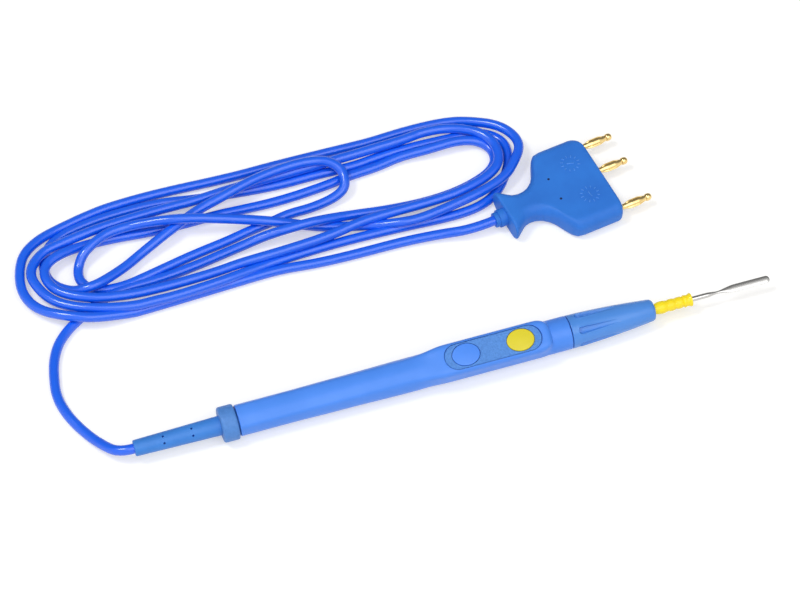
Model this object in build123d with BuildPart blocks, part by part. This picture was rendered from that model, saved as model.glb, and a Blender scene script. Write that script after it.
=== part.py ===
from build123d import *
import os
from math import cos, pi, radians, sin, sqrt, tan

os.makedirs("parts", exist_ok=True)

# Electrosurgical pencil lying on a table, with its hanked cord and its three-pin plug. Millimetres.
# X runs along the pencil towards the blade and Z is up. The origin is on the table, under the
# middle of the pencil.

# Lengths along the pencil, from the cord end to the tip of the blade
strain_relief_shown = 31.9
collar_length = 6.4
handle_length = 127.7
nose_length = 32.6
sleeve_shown = 14.2
rod_shown = 10.9
blade_length = 20.3

# Fits and common small sizes
overrun = 1.0
press_gap = 0.03
slide_gap = 0.06
free_gap = 0.3

# Turn of the pencil about its own length, so that the buttons face the hand
button_turn = 16.5

# Tail collar, a cup whose end wall keeps the strain relief in
collar_diameter = 13.2
collar_wall = 1.2
collar_edge = 0.8

# Handle shell
tail_spigot_diameter = 10.4
handle_tail_diameter = 11.5
handle_middle_diameter = 11.95
handle_swell_diameter = 12.75
handle_waist_diameter = 11.6
handle_front_diameter = 12.75
handle_front_rise = 3.6
bore_diameter = 8.8
front_socket_diameter = 10.0
front_socket_depth = 8.0

# Raised saddle that carries the buttons
saddle_height = 7.4
saddle_half_width = 6.5
saddle_corner = 1.3
saddle_crown = 0.12
saddle_foot = -1.0
saddle_foot_half_width = 5.0
saddle_ramp = 12.0
neck_length = 10.4
saddle_nose_length = 6.2

# Switch panel and the buttons in it
panel_length = 37.0
panel_width = 9.6
panel_thickness = 1.2
panel_edge = 0.3
panel_joint = 0.15
panel_front_margin = 2.5
panel_back_margin = 0.1
button_margin = 2.85
button_length = 10.4
button_width = 8.3
button_joint = 0.18
button_rise = 0.5
button_dome_sag = 0.35
button_edge = 0.35
button_travel = 0.5
flange_thickness = 0.8
flange_overlap = 0.5
flange_gap = 0.15
flange_corner = 3.5
under_gap = 0.05
plunger_diameter = 2.4

# Switch chamber under the panel, the board on its ledge and the snap domes
chamber_margin = 0.7
chamber_width = 9.0
ledge_height = 2.9
board_thickness = 1.0
board_gap = 0.1
board_edge = 0.5
dome_diameter = 6.4
dome_height = 1.05
dome_thickness = 0.15

# Nose cone
nose_back_diameter = 12.6
nose_middle_diameter = 11.3
nose_front_diameter = 7.9
nose_edge = 1.2
spigot_length = 7.6
spigot_bore_diameter = 6.6
nose_front_wall = 6.4
flute_count = 6
flute_phase = 20.5
flute_start = 2.6
flute_length = 22.0
flute_width = 2.3
flute_depth = 0.42
flute_rise = 1.15
flute_end_radius = 0.6

# Electrode: shank in a brass socket, yellow sleeve, rod, neck and blade
shank_diameter = 2.36
rod_diameter = 2.0
socket_diameter = 5.2
socket_length = 21.0
socket_mouth = 0.4
shank_in_socket = 19.0
sleeve_diameter = 4.0
sleeve_neck = 0.8
sleeve_edge = 0.4
rib_diameter = 4.5
rib_valley_diameter = 3.7
sleeve_flange_diameter = 4.9
sleeve_flange_length = 1.9
rib_count = 3
neck_width = 1.0
neck_thickness = 0.8
neck_taper = 4.6
blade_width = 2.5
blade_thickness = 0.55
blade_flare = 6.0
sleeve_step = 2.6

# Contact strip from the board to the socket
strip_thickness = 0.3
strip_width = 2.0
strip_lap = 3.6

# Strain relief
relief_end_diameter = 6.0
relief_root_diameter = 7.3
relief_flange_diameter = 9.6
relief_flange_length = 2.4
relief_plug_length = 5.0
relief_hole_diameter = 0.85
relief_hole_sets = (10.8, 21.4)
relief_hole_turns = (-14.0, 33.0)
relief_end_edge = 0.5

# Cord and its wires
cord_diameter = 3.6
cord_gap = 0.05
wire_diameter = 1.0
wire_circle_diameter = 1.3
crimp_length = 6.0
crimp_wall = 0.5
jacket_into_handle = 8.0
wire_pad_pitch = 3.2
wire_bend = 1.8
wire_count = 3

# Plug, seen from above with its pins forward
plug_turn = 8.6
plug_face_x = 78.4
plug_face_y = 63.9
plug_thickness = 9.8
plug_half_width = 18.2
plug_length = 41.3
plug_corner = 2.6
plug_flange_corner = 2.4
plug_edge = 1.1
grommet_length = 4.4
grommet_diameter = 7.0
grommet_step_diameter = 5.8
grommet_step_length = 1.6
mark_radius = 3.6
mark_setting_back = 9.2
mark_setting_side = 8.0
mark_depth = 0.25
mark_line = 0.4
mark_tick = 1.1
mark_bar = 2.6
mark_ticks = 12
gate_diameter = 0.9
gate_depth = 0.5
gate_back = 20.1
gate_side = 5.05

# Pin carrier inside the plug, the pins and their lantern springs
pin_spacing_near = 12.7
pin_spacing_far = 19.05
pin_length = 13.3
pin_rod_diameter = 1.9
pin_base_diameter = 3.0
pin_base_length = 0.9
pin_cup_diameter = 2.2
pin_cup_length = 2.4
pin_head_diameter = 2.8
pin_head_length = 2.9
pin_head_edge = 0.9
spring_diameter = 3.9
spring_end_diameter = 2.5
spring_wall = 0.27
spring_back = 1.6
spring_band = 3.6
spring_slots = 4
spring_slot_width = 0.4
spring_slot_length = 6.4
carrier_depth = 6.0
carrier_set_back = 2.0
carrier_height = 6.4
carrier_end_margin = 1.4
carrier_corner = 0.8
wire_space_height = 4.0
wire_space_wall = 1.2
wire_space_margin = 1.5
jacket_into_plug = 12.0
wire_lead = 2.8

# Hank of cord, and the straight lengths of cord at the strain relief and at the grommet
hank_height = 9.0
hank_edge = 1.2
lead_straight = 5.6
tail_straight = 9.3

# Positions worked out from those lengths
pencil_length = (
    strain_relief_shown + collar_length + handle_length + nose_length + sleeve_shown
    + rod_shown + blade_length
)
tail_x = -pencil_length / 2
collar_back = tail_x + strain_relief_shown
collar_front = collar_back + collar_length
seam_x = collar_front + handle_length
nose_front = seam_x + nose_length
sleeve_front = nose_front + sleeve_shown
neck_x = sleeve_front + rod_shown
tip_x = neck_x + blade_length
axis_height = collar_diameter / 2

# Directions of the turned pencil: up through the buttons, and across them
along = Vector(1, 0, 0)
up = Vector(0, -sin(radians(button_turn)), cos(radians(button_turn)))
across = Vector(0, cos(radians(button_turn)), sin(radians(button_turn)))
pencil_axis = Axis((0, 0, axis_height), (1, 0, 0))
top_plane = Plane(origin=(0, 0, axis_height), x_dir=along, z_dir=up)
side_plane = Plane(origin=(0, 0, axis_height), x_dir=along, z_dir=-across)


def section_plane(x):
    """Plane square to the pencil at x, with its own y pointing up through the buttons."""
    return Plane(origin=(x, 0, axis_height), x_dir=across, z_dir=along)


def pencil_point(x, side, height):
    """Point given along the pencil, across the buttons and up through them."""
    return Vector(x, 0, axis_height) + across * side + up * height


def smooth_share(share):
    """Rise from 0 to 1 that starts and ends level: 3 s squared less 2 s cubed."""
    return 3 * share**2 - 2 * share**3


def tube_radii(points):
    """Arc radius for each corner of a route: 0.45 of the shorter run over tan(half the turn)."""
    reach_share = 0.45
    radii = []
    for before, corner, after in zip(points, points[1:], points[2:]):
        run_in = corner - before
        run_out = after - corner
        half_turn = radians(run_in.get_angle(run_out)) / 2
        radii.append(reach_share * min(run_in.length, run_out.length) / tan(half_turn))
    return radii


# Saddle: lofted from a slim section sunk in the round handle to the full one under the panel
shoulder_x = seam_x - neck_length
saddle_flat = panel_back_margin + panel_length + panel_front_margin - saddle_nose_length
saddle_flat_back = shoulder_x - saddle_nose_length - saddle_flat
ramp_start = saddle_flat_back - saddle_ramp
slim_half_width = 3.2
slim_height = handle_swell_diameter / 2 - free_gap


def saddle_section(x, width_share, rise_share):
    """Six-arc section at x. Shares of 0 give the slim start, sunk in the handle, and 1 the full saddle."""
    half_width = slim_half_width + (saddle_half_width - slim_half_width) * width_share
    foot = slim_half_width + (saddle_foot_half_width - slim_half_width) * width_share
    height = slim_height + (saddle_height - slim_height) * rise_share
    corner = saddle_corner
    diagonal = corner * (1 - sqrt(1 / 2))
    side_mid = ((foot + half_width) / 2 + saddle_crown, (saddle_foot + height - corner) / 2)
    with BuildSketch(section_plane(x)) as section:
        with BuildLine():
            Line((-foot, saddle_foot), (foot, saddle_foot))
            ThreePointArc((foot, saddle_foot), side_mid, (half_width, height - corner))
            ThreePointArc(
                (half_width, height - corner),
                (half_width - diagonal, height - diagonal),
                (half_width - corner, height),
            )
            ThreePointArc(
                (half_width - corner, height), (0, height + saddle_crown), (corner - half_width, height)
            )
            ThreePointArc(
                (corner - half_width, height),
                (diagonal - half_width, height - diagonal),
                (-half_width, height - corner),
            )
            ThreePointArc((-half_width, height - corner), (-side_mid[0], side_mid[1]), (-foot, saddle_foot))
        make_face()
    return section.sketch


ramp_steps = 6
ramp_sections = []
for step in range(ramp_steps + 1):
    share = smooth_share(step / ramp_steps)
    ramp_sections.append(saddle_section(ramp_start + saddle_ramp * step / ramp_steps, share, share))
# The front end is round seen from above: place along it, then width and height there
nose_shares = (
    (0, 1, 1), (0.2, 0.97, 1), (0.4, 0.88, 1), (0.6, 0.72, 0.97), (0.78, 0.48, 0.86), (0.92, 0.18, 0.55),
    (1, -0.1, 0.1),
)
nose_sections = [
    saddle_section(shoulder_x - saddle_nose_length * (1 - place_share), width_share, rise_share)
    for place_share, width_share, rise_share in nose_shares
]
with BuildPart() as saddle:
    loft(ramp_sections)
    extrude(ramp_sections[-1], amount=saddle_flat)
    loft(nose_sections)


# Handle shell: turned outside with a slight swell and a waist under the saddle, hollow inside
spigot_back = collar_back + collar_wall + relief_flange_length
panel_x = shoulder_x - panel_front_margin - panel_length / 2
tail_share = 0.29
middle_share = 0.56
handle_outside = (
    (collar_front, handle_tail_diameter),
    (collar_front + (ramp_start - collar_front) * tail_share, handle_tail_diameter),
    (collar_front + (ramp_start - collar_front) * middle_share, handle_middle_diameter),
    (ramp_start, handle_swell_diameter),
    (saddle_flat_back, handle_waist_diameter),
    (panel_x, handle_waist_diameter),
    (shoulder_x - handle_front_rise, handle_waist_diameter),
    (shoulder_x + neck_length / 2, handle_front_diameter),
    (seam_x, handle_front_diameter),
)
chamber_length = panel_length - 2 * chamber_margin
pocket_floor = saddle_height - panel_thickness
with BuildPart() as handle_shell:
    with BuildSketch(side_plane):
        with BuildLine():
            outside = [(x, diameter / 2) for x, diameter in handle_outside]
            Spline(outside, tangents=((1, 0), (1, 0)))
            Polyline(
                outside[-1], (seam_x, 0), (spigot_back, 0), (spigot_back, tail_spigot_diameter / 2),
                (collar_front, tail_spigot_diameter / 2), outside[0],
            )
        make_face()
    revolve(axis=pencil_axis)
    add(saddle.part)
    with BuildSketch(side_plane):
        with BuildLine():
            mouth_back = seam_x - front_socket_depth
            Polyline(
                (spigot_back - overrun, 0), (spigot_back - overrun, bore_diameter / 2),
                (mouth_back, bore_diameter / 2), (mouth_back, front_socket_diameter / 2),
                (seam_x + overrun, front_socket_diameter / 2), (seam_x + overrun, 0), close=True,
            )
        make_face()
    revolve(axis=pencil_axis, mode=Mode.SUBTRACT)
    with BuildSketch(top_plane.offset(pocket_floor)):
        with Locations((panel_x, 0)):
            SlotOverall(panel_length + 2 * panel_joint, panel_width + 2 * panel_joint)
    extrude(amount=panel_thickness + overrun, mode=Mode.SUBTRACT)
    with BuildSketch(top_plane.offset(ledge_height)):
        with Locations((panel_x, 0)):
            SlotOverall(chamber_length, chamber_width)
    extrude(amount=pocket_floor - ledge_height + overrun, mode=Mode.SUBTRACT)

# Tail collar: a cup pushed over the handle's tail
with BuildPart() as tail_collar:
    with BuildSketch(side_plane):
        with BuildLine():
            hole = relief_root_diameter / 2 + press_gap
            inside = tail_spigot_diameter / 2 + press_gap
            wall_front = collar_back + collar_wall
            Polyline(
                (collar_back, hole), (wall_front, hole), (wall_front, inside), (collar_front, inside),
                (collar_front, collar_diameter / 2), (collar_back, collar_diameter / 2), close=True,
            )
        make_face()
        fillet(vertices().filter_by(lambda v: v.Y > inside + press_gap), collar_edge)
    revolve(axis=pencil_axis)

# Strain relief: soft tapered tube with a flange kept by the collar and a plug in the handle's bore
relief_flange_back = collar_back + collar_wall
relief_front = spigot_back + relief_plug_length
with BuildPart() as strain_relief:
    with BuildSketch(side_plane):
        with BuildLine():
            inside = cord_diameter / 2 + cord_gap
            Polyline(
                (tail_x, inside), (relief_front, inside), (relief_front, bore_diameter / 2 - press_gap),
                (spigot_back, bore_diameter / 2 - press_gap), (spigot_back, relief_flange_diameter / 2),
                (relief_flange_back, relief_flange_diameter / 2),
                (relief_flange_back, relief_root_diameter / 2), (tail_x, relief_end_diameter / 2),
                close=True,
            )
        make_face()
        fillet(vertices().sort_by(Axis.X)[:2].sort_by(Axis.Y)[-1], relief_end_edge)
    revolve(axis=pencil_axis)
    for hole_set in relief_hole_sets:
        for hole_turn in relief_hole_turns:
            turn = radians(hole_turn)
            hole_direction = across * -sin(turn) + up * cos(turn)
            hole_plane = Plane(origin=(tail_x + hole_set, 0, axis_height), x_dir=along, z_dir=hole_direction)
            with BuildSketch(hole_plane):
                Circle(relief_hole_diameter / 2)
            extrude(amount=relief_root_diameter, both=True, mode=Mode.SUBTRACT)

# Nose cone: a spigot pressed into the handle, a convex taper and six flutes for the fingers
nose_end_slope_share = -0.1
nose_spigot_back = seam_x - spigot_length
socket_front = nose_front - nose_front_wall
socket_back = socket_front - socket_length
with BuildPart() as flute:
    # One flute is cut by a long drop that lies over the surface, round at the back
    drop_radius = (flute_width**2 / 4 + flute_depth**2) / (2 * flute_depth)
    drop_start = Vector(seam_x + flute_start + flute_width / 2, nose_back_diameter / 2 + drop_radius - flute_depth)
    drop_end = Vector(drop_start.X + flute_length, nose_front_diameter / 2 + flute_rise)
    drop_plane = Plane(
        origin=side_plane.from_local_coords(drop_start),
        x_dir=side_plane.from_local_coords(drop_end) - side_plane.from_local_coords(drop_start),
        z_dir=side_plane.z_dir,
    )
    drop_length = (drop_end - drop_start).length
    with BuildSketch(drop_plane):
        with BuildLine():
            RadiusArc((-drop_radius, 0), (0, drop_radius), drop_radius)
            Polyline((0, drop_radius), (drop_length, flute_end_radius), (drop_length, 0), (-drop_radius, 0))
        make_face()
    revolve(axis=Axis(drop_plane.origin, drop_plane.x_dir))
with BuildPart() as nose_cone:
    with BuildSketch(side_plane):
        with BuildLine():
            Spline(
                (seam_x, nose_back_diameter / 2),
                (seam_x + nose_length / 2, nose_middle_diameter / 2),
                (nose_front, nose_front_diameter / 2),
                tangents=((1, 0), (1, nose_end_slope_share)),
            )
            socket_hole = socket_diameter / 2 + press_gap
            sleeve_hole = sleeve_diameter / 2 + slide_gap
            spigot_outside = front_socket_diameter / 2 - press_gap
            Polyline(
                (nose_front, nose_front_diameter / 2), (nose_front, sleeve_hole), (socket_front, sleeve_hole),
                (socket_front, socket_hole), (socket_back, socket_hole),
                (socket_back - overrun, spigot_bore_diameter / 2), (nose_spigot_back, spigot_bore_diameter / 2),
                (nose_spigot_back, spigot_outside), (seam_x, spigot_outside), (seam_x, nose_back_diameter / 2),
            )
        make_face()
        fillet(vertices().group_by(Axis.X)[-1].sort_by(Axis.Y)[-1], nose_edge)
    revolve(axis=pencil_axis)
    for number in range(flute_count):
        turned = flute.part.rotate(pencil_axis, flute_phase + number * 360 / flute_count)
        add(turned, mode=Mode.SUBTRACT)

# Brass socket pressed into the nose, and the electrode that slides into it
shank_back = socket_front - shank_in_socket
sleeve_back = socket_front + free_gap
with BuildPart() as electrode_socket:
    with BuildSketch(side_plane):
        with BuildLine():
            shank_hole = shank_diameter / 2 + slide_gap
            Polyline(
                (socket_back, shank_hole), (socket_front - socket_mouth, shank_hole),
                (socket_front, shank_hole + socket_mouth), (socket_front, socket_diameter / 2),
                (socket_back, socket_diameter / 2), close=True,
            )
        make_face()
    revolve(axis=pencil_axis)

with BuildPart() as electrode_blade:
    with BuildSketch(side_plane):
        with BuildLine():
            shank_front = sleeve_front - sleeve_step
            rod_front = neck_x - neck_taper
            Polyline(
                (shank_back, 0), (shank_back, shank_diameter / 2), (shank_front, shank_diameter / 2),
                (shank_front, rod_diameter / 2), (rod_front, rod_diameter / 2), (rod_front, 0), close=True,
            )
        make_face()
        chamfer(vertices().sort_by(Axis.X)[:2].sort_by(Axis.Y)[-1], socket_mouth)
    revolve(axis=pencil_axis)
    with BuildSketch(section_plane(rod_front)) as round_section:
        Ellipse(rod_diameter / 2, rod_diameter / 2)
    with BuildSketch(section_plane(neck_x)) as neck_section:
        Ellipse(neck_width / 2, neck_thickness / 2)
    with BuildSketch(section_plane(neck_x + blade_flare)) as blade_section:
        Ellipse(blade_width / 2, blade_thickness / 2)
    loft([round_section.sketch, neck_section.sketch, blade_section.sketch])
    extrude(blade_section.sketch, amount=blade_length - blade_flare)
    with BuildSketch(top_plane):
        tip_radius = blade_width / 2
        with Locations((tip_x - tip_radius, 0)):
            Circle(tip_radius)
        straight = tip_x - tip_radius - shank_back
        with Locations((tip_x - tip_radius - straight / 2, 0)):
            Rectangle(straight, 2 * shank_diameter)
    extrude(amount=shank_diameter, both=True, mode=Mode.INTERSECT)

# Yellow sleeve moulded on the electrode: a plain part inside the nose, three ribs and a flange
ribs_back = nose_front + sleeve_neck
rib_pitch = (sleeve_shown - 2 * sleeve_neck - sleeve_flange_length) / rib_count
with BuildPart() as electrode_sleeve:
    with BuildSketch(side_plane):
        with BuildLine():
            shank_grip = shank_diameter / 2 + press_gap
            rod_grip = rod_diameter / 2 + press_gap
            valley = rib_valley_diameter / 2
            flange_back = sleeve_front - sleeve_flange_length
            for number in range(rib_count):
                rib_back = ribs_back + number * rib_pitch
                ThreePointArc(
                    (rib_back, valley), (rib_back + rib_pitch / 2, rib_diameter / 2), (rib_back + rib_pitch, valley)
                )
            Polyline(
                (ribs_back, valley), (nose_front, sleeve_diameter / 2), (sleeve_back, sleeve_diameter / 2),
                (sleeve_back, shank_grip), (shank_front, shank_grip), (shank_front, rod_grip),
                (sleeve_front, rod_grip), (sleeve_front, sleeve_flange_diameter / 2),
                (flange_back, sleeve_flange_diameter / 2), (flange_back, valley),
                (ribs_back + rib_count * rib_pitch, valley),
            )
        make_face()
        fillet(vertices().group_by(Axis.Y)[-1], sleeve_edge)
    revolve(axis=pencil_axis)

# Circuit board on the ledge of the switch chamber
board_length = chamber_length - 2 * board_gap
board_front = panel_x + board_length / 2
board_top = ledge_height + board_thickness
with BuildPart() as circuit_board:
    with BuildSketch(top_plane.offset(ledge_height)):
        with Locations((panel_x, 0)):
            SlotOverall(board_length, chamber_width - 2 * board_gap)
    extrude(amount=board_thickness)

# Contact clip: a bent strip soldered on the board, which presses on the socket's back face
with BuildPart() as contact_clip:
    with BuildSketch(side_plane):
        with BuildLine():
            strip_low = (socket_diameter / 2 + shank_hole - strip_thickness) / 2
            strip_bend = board_front + free_gap
            Polyline(
                (board_front - strip_lap, board_top), (strip_bend, board_top), (strip_bend, strip_low),
                (socket_back, strip_low), (socket_back, strip_low + strip_thickness),
                (strip_bend + strip_thickness, strip_low + strip_thickness),
                (strip_bend + strip_thickness, board_top + strip_thickness),
                (board_front - strip_lap, board_top + strip_thickness), close=True,
            )
        make_face()
    extrude(amount=strip_width / 2, both=True)

# Switch panel: a stadium plate let into the saddle, with an oval hole for each button
button_spacing = panel_length - button_length - 2 * button_margin
button_places = {"coag": panel_x - button_spacing / 2, "cut": panel_x + button_spacing / 2}
with BuildPart() as switch_panel:
    with BuildSketch(top_plane.offset(pocket_floor)):
        with Locations((panel_x, 0)):
            SlotOverall(panel_length, panel_width)
        for place in button_places.values():
            with Locations((place, 0)):
                Ellipse(button_length / 2 + button_joint, button_width / 2 + button_joint, mode=Mode.SUBTRACT)
    extrude(amount=panel_thickness)
    rim_faces = faces().filter_by(Plane(origin=top_plane.origin, z_dir=up)).sort_by(Axis(top_plane.origin, up))
    chamfer(rim_faces[-1].outer_wire().edges(), panel_edge)

# Buttons: ovals with a shallow crown, kept under the panel by a flange, each over a snap dome
crown_radius = ((button_length / 2) ** 2 + button_dome_sag**2) / (2 * button_dome_sag)
button_top = saddle_height + button_rise
flange_top = pocket_floor - under_gap
dome_top = board_top + dome_height
dome_radius = ((dome_diameter / 2) ** 2 + dome_height**2) / (2 * dome_height)
switch_pieces = {}
for name, place in button_places.items():
    with BuildPart() as button:
        with BuildSketch(top_plane.offset(flange_top - flange_thickness)):
            with Locations((place, 0)):
                Ellipse(button_length / 2, button_width / 2)
        extrude(amount=button_top - flange_top + flange_thickness)
        with Locations(pencil_point(place, 0, button_top - crown_radius)):
            Sphere(crown_radius, mode=Mode.INTERSECT)
        crown = faces().filter_by(GeomType.SPHERE)[0]
        fillet(crown.edges(), button_edge)
        with BuildSketch(top_plane.offset(flange_top - flange_thickness)):
            with Locations((place, 0)):
                RectangleRounded(
                    button_length + 2 * flange_overlap, chamber_width - 2 * flange_gap, flange_corner
                )
        extrude(amount=flange_thickness)
        with BuildSketch(top_plane.offset(dome_top + under_gap)):
            with Locations((place, 0)):
                Circle(plunger_diameter / 2)
        extrude(amount=flange_top - flange_thickness - dome_top - under_gap)
    with BuildPart() as dome:
        dome_plane = Plane(origin=pencil_point(place, 0, board_top), x_dir=along, z_dir=-across)
        with BuildSketch(dome_plane):
            with Locations((0, dome_height - dome_radius)):
                Circle(dome_radius)
                Circle(dome_radius - dome_thickness, mode=Mode.SUBTRACT)
            with Locations((dome_diameter / 4, dome_height / 2)):
                Rectangle(dome_diameter / 2, dome_height, mode=Mode.INTERSECT)
        revolve(axis=Axis(dome_plane.origin, up))
    switch_pieces[f"{name}_button"] = button
    switch_pieces[f"{name}_dome"] = dome

# End of the cord inside the handle, with the crimp sleeve that stops it at the strain relief
jacket_front = relief_front + jacket_into_handle
cord_radius = cord_diameter / 2
with BuildPart() as cord_end_pencil:
    with BuildSketch(section_plane(tail_x)):
        Circle(cord_radius)
    extrude(amount=jacket_front - tail_x)

with BuildPart() as crimp_sleeve:
    with BuildSketch(section_plane(relief_front)):
        Circle(cord_radius + press_gap + crimp_wall)
        Circle(cord_radius + press_gap, mode=Mode.SUBTRACT)
    extrude(amount=crimp_length)

# Three wires run along the bore and turn up to the board, the topmost one first
wire_pieces = {}
board_back = panel_x - board_length / 2
for number in range(wire_count):
    wire_turn = radians(90 + number * 360 / wire_count)
    side = wire_circle_diameter / 2 * cos(wire_turn)
    height = wire_circle_diameter / 2 * sin(wire_turn)
    pad_x = board_back + (number + 1) * wire_pad_pitch
    with BuildPart() as wire:
        with BuildLine():
            FilletPolyline(
                pencil_point(jacket_front, side, height), pencil_point(pad_x, side, height),
                pencil_point(pad_x, side, ledge_height), radius=wire_bend,
            )
        with BuildSketch(Plane(origin=pencil_point(jacket_front, side, height), z_dir=along)):
            Circle(wire_diameter / 2)
        sweep()
    wire_pieces[f"pencil_wire_{number + 1}"] = wire

# Plug: its own plane has local x towards the pins, and its pins lie half way up its thickness
plug_along = Vector(cos(radians(plug_turn)), sin(radians(plug_turn)), 0)
plug_plane = Plane(origin=(plug_face_x, plug_face_y, 0), x_dir=plug_along, z_dir=(0, 0, 1))
pin_height = plug_thickness / 2
pin_sides = (pin_spacing_far / 2 + pin_spacing_near / 2, pin_spacing_far / 2 - pin_spacing_near / 2,
             -pin_spacing_far / 2 - pin_spacing_near / 2)
carrier_half_width = pin_sides[0] + carrier_end_margin
carrier_back = carrier_set_back + carrier_depth
cup_back = -carrier_back - pin_cup_length


def plug_line_plane(side):
    """Plane through one pin's line: local x towards the tip of the pin, local y up."""
    origin = plug_plane.from_local_coords(Vector(0, side, pin_height))
    return Plane(origin=origin, x_dir=plug_along, z_dir=-plug_plane.y_dir)


def plug_round(x):
    """Plane square to the cord's line in the plug, at x."""
    return Plane(origin=plug_plane.from_local_coords(Vector(x, 0, pin_height)), z_dir=plug_along)


# Side of the plug from its shoulder to its rear flange: shares of its length and of its half width
plug_side_shares = (
    (0.453, 1), (0.504, 0.923), (0.533, 0.824), (0.584, 0.544), (0.63, 0.396), (0.688, 0.297),
    (0.806, 0.258), (0.908, 0.396), (1, 0.533),
)
jacket_end = -plug_length + jacket_into_plug
with BuildPart() as plug_body:
    with BuildSketch(plug_plane):
        with BuildLine():
            outline = [(-plug_length * back, plug_half_width * out) for back, out in plug_side_shares]
            Polyline((0, 0), (0, plug_half_width), outline[0])
            Spline(outline, tangents=((-1, 0), (-1, 1 / 2)))
            Line(outline[-1], (-plug_length, 0))
            mirror(about=Plane.XZ)
        make_face()
        fillet(vertices().group_by(Axis.X)[-1], plug_corner)
        fillet(vertices().group_by(Axis.X)[0], plug_flange_corner)
    extrude(amount=plug_thickness)
    fillet(faces().sort_by(Axis.Z)[-1].edges() + faces().sort_by(Axis.Z)[0].edges(), plug_edge)
    with BuildSketch(plug_plane.offset(pin_height - carrier_height / 2 - press_gap)):
        with Locations((-carrier_set_back - carrier_depth / 2, 0)):
            Rectangle(carrier_depth + 2 * press_gap, 2 * carrier_half_width + 2 * press_gap)
    extrude(amount=carrier_height + 2 * press_gap, mode=Mode.SUBTRACT)
    with BuildSketch(plug_plane.offset(pin_height - wire_space_height / 2)):
        with BuildLine():
            space_side = plug_half_width - wire_space_wall
            space_front = cup_back - wire_lead - wire_space_margin
            Polyline(
                (jacket_end, cord_radius), (jacket_end + wire_lead, cord_radius), (space_front, space_side),
                (-carrier_back + press_gap, space_side), (-carrier_back + press_gap, -space_side),
                (space_front, -space_side), (jacket_end + wire_lead, -cord_radius), (jacket_end, -cord_radius),
                close=True,
            )
        make_face()
    extrude(amount=wire_space_height, mode=Mode.SUBTRACT)
    with BuildSketch(plug_round(-plug_length - overrun)):
        Circle(cord_radius + press_gap)
    extrude(amount=jacket_into_plug + overrun, mode=Mode.SUBTRACT)
    for pin_side in pin_sides:
        pin_line = plug_line_plane(pin_side)
        with BuildSketch(Plane(origin=pin_line.origin + plug_along * overrun, z_dir=-plug_along)):
            Circle(pin_rod_diameter / 2 + press_gap)
        extrude(amount=carrier_set_back + overrun, mode=Mode.SUBTRACT)
    with BuildSketch(plug_plane.offset(plug_thickness - mark_depth)):
        for mark_side in (mark_setting_side, -mark_setting_side):
            with Locations((-mark_setting_back, mark_side)):
                Rectangle(mark_line, mark_bar)
                with PolarLocations(mark_radius - mark_tick / 2, mark_ticks):
                    Rectangle(mark_tick, mark_line)
    extrude(amount=mark_depth + overrun, mode=Mode.SUBTRACT)
    with BuildSketch(plug_plane.offset(plug_thickness - gate_depth)):
        with Locations((-gate_back, gate_side), (-gate_back, -gate_side)):
            Circle(gate_diameter / 2)
    extrude(amount=gate_depth + overrun, mode=Mode.SUBTRACT)

# Grommet behind the plug, and the end of the cord that it guides into the neck
grommet_back = -plug_length - grommet_length
with BuildPart() as cord_grommet:
    with BuildSketch(plug_line_plane(0)):
        with BuildLine():
            grommet_hole = cord_radius + press_gap
            step_front = grommet_back + grommet_step_length
            Polyline(
                (-plug_length, grommet_hole), (grommet_back, grommet_hole),
                (grommet_back, grommet_step_diameter / 2), (step_front, grommet_step_diameter / 2),
                (step_front, grommet_diameter / 2), (-plug_length, grommet_diameter / 2), close=True,
            )
        make_face()
    revolve(axis=Axis(plug_line_plane(0).origin, plug_along))

with BuildPart() as cord_end_plug:
    with BuildSketch(plug_round(grommet_back)):
        Circle(cord_radius)
    extrude(amount=jacket_end - grommet_back)

# Pin carrier: the hard block inside the plug that holds the three pins in line
with BuildPart() as pin_carrier:
    with BuildSketch(plug_plane.offset(pin_height - carrier_height / 2)):
        with Locations((-carrier_set_back - carrier_depth / 2, 0)):
            Rectangle(carrier_depth, 2 * carrier_half_width)
    extrude(amount=carrier_height)
    fillet(edges().filter_by(Axis(plug_plane.origin, plug_along)), carrier_corner)
    for pin_side in pin_sides:
        pin_line = plug_line_plane(pin_side)
        with BuildSketch(Plane(origin=pin_line.origin, z_dir=-plug_along)):
            Circle(pin_rod_diameter / 2 + press_gap)
        extrude(amount=carrier_back + overrun, mode=Mode.SUBTRACT)

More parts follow.
